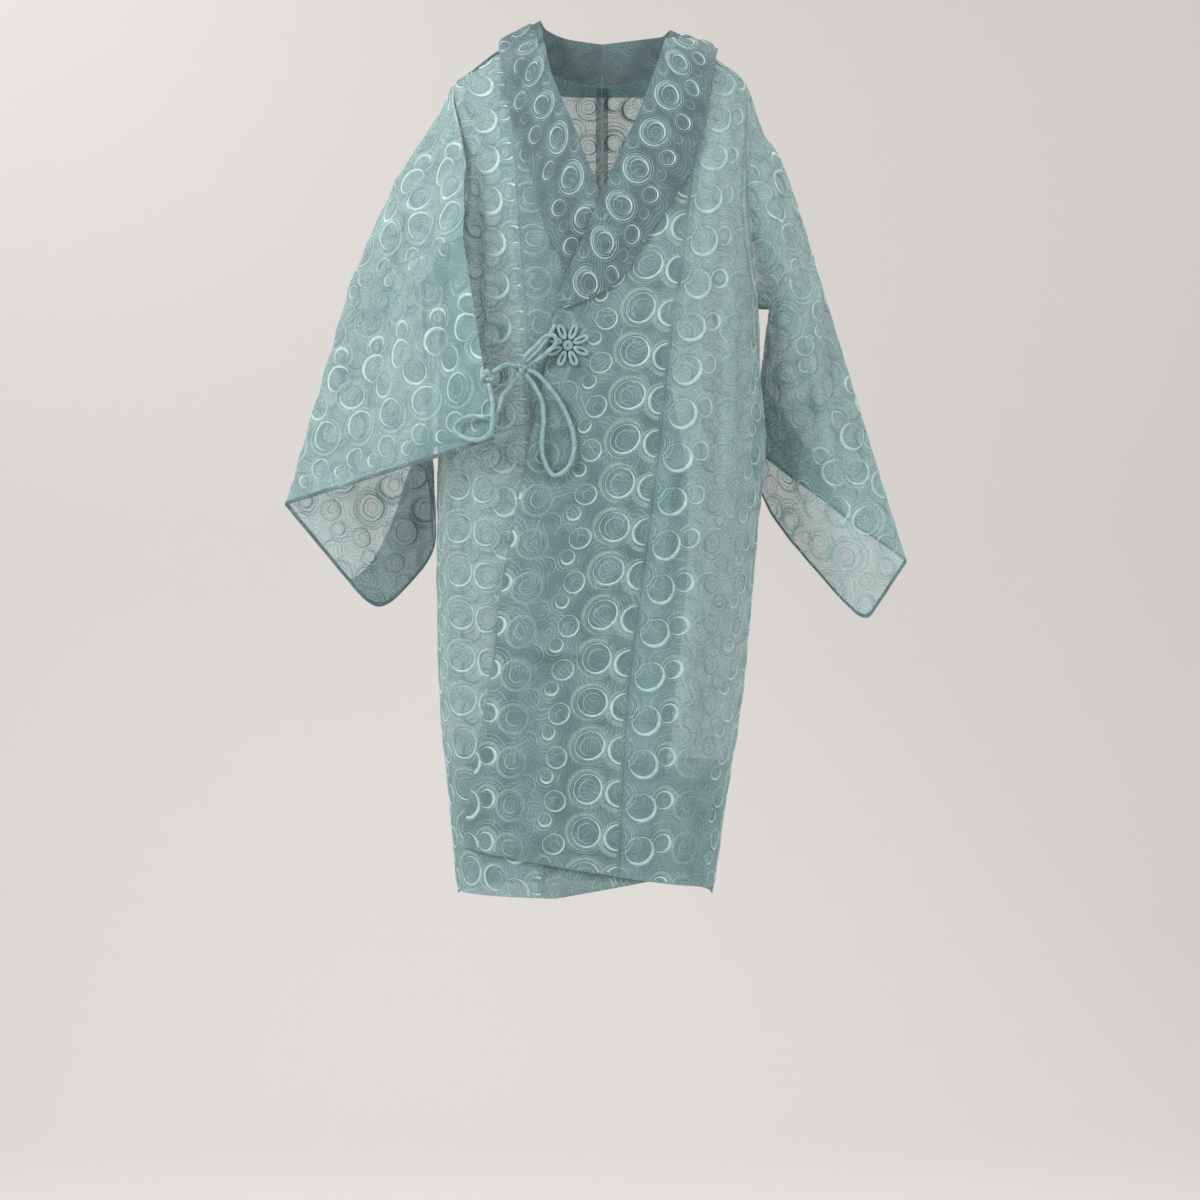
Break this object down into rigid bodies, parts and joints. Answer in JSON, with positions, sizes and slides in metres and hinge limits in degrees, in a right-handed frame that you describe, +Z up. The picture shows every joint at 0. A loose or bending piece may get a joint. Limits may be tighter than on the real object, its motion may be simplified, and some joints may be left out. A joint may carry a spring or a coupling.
{
  "type": "kimono coat",
  "caption": "Sheer embroidered coat in kimono cut, worn and hollow: crossed fronts, shawl collar, wide open sleeves, and a cord tie with a flower knot.",
  "frame": {"origin": "between the shoulders at the height of the neck point, where the wearer's shoulders hold the coat", "axes": "+Z up, +X to the wearer's left, -Y to the front"},
  "size_m": [0.6826, 0.2706, 0.9614],
  "materials": {
    "organza": "sheer pale teal organza with raised ring embroidery",
    "organza_doubled": "the same organza folded double, nearly opaque",
    "cord": "round pale aqua satin cord"
  },
  "bodies": {
    "root": {"back_right": "organza", "back_left": "organza", "front_right": "organza", "band_right": "organza_doubled", "band_left": "organza_doubled", "front_left": "organza", "collar_right": "organza_doubled", "collar_left": "organza_doubled", "shoulder_right": "organza", "sleeve_right": "organza", "shoulder_left": "organza", "sleeve_left": "organza", "tie_lead_left": "cord", "tie_loop_top": "cord", "tie_loop_long": "cord", "tie_lead_right": "cord", "tie_loop_hanging": "cord", "tie_knot": "cord", "side_knot": "cord", "flower_petal_1": "cord", "flower_petal_2": "cord", "flower_petal_3": "cord", "flower_petal_4": "cord", "flower_petal_5": "cord", "flower_petal_6": "cord", "flower_petal_7": "cord", "flower_petal_8": "cord", "flower_button": "cord"}
  },
  "joints": []
}
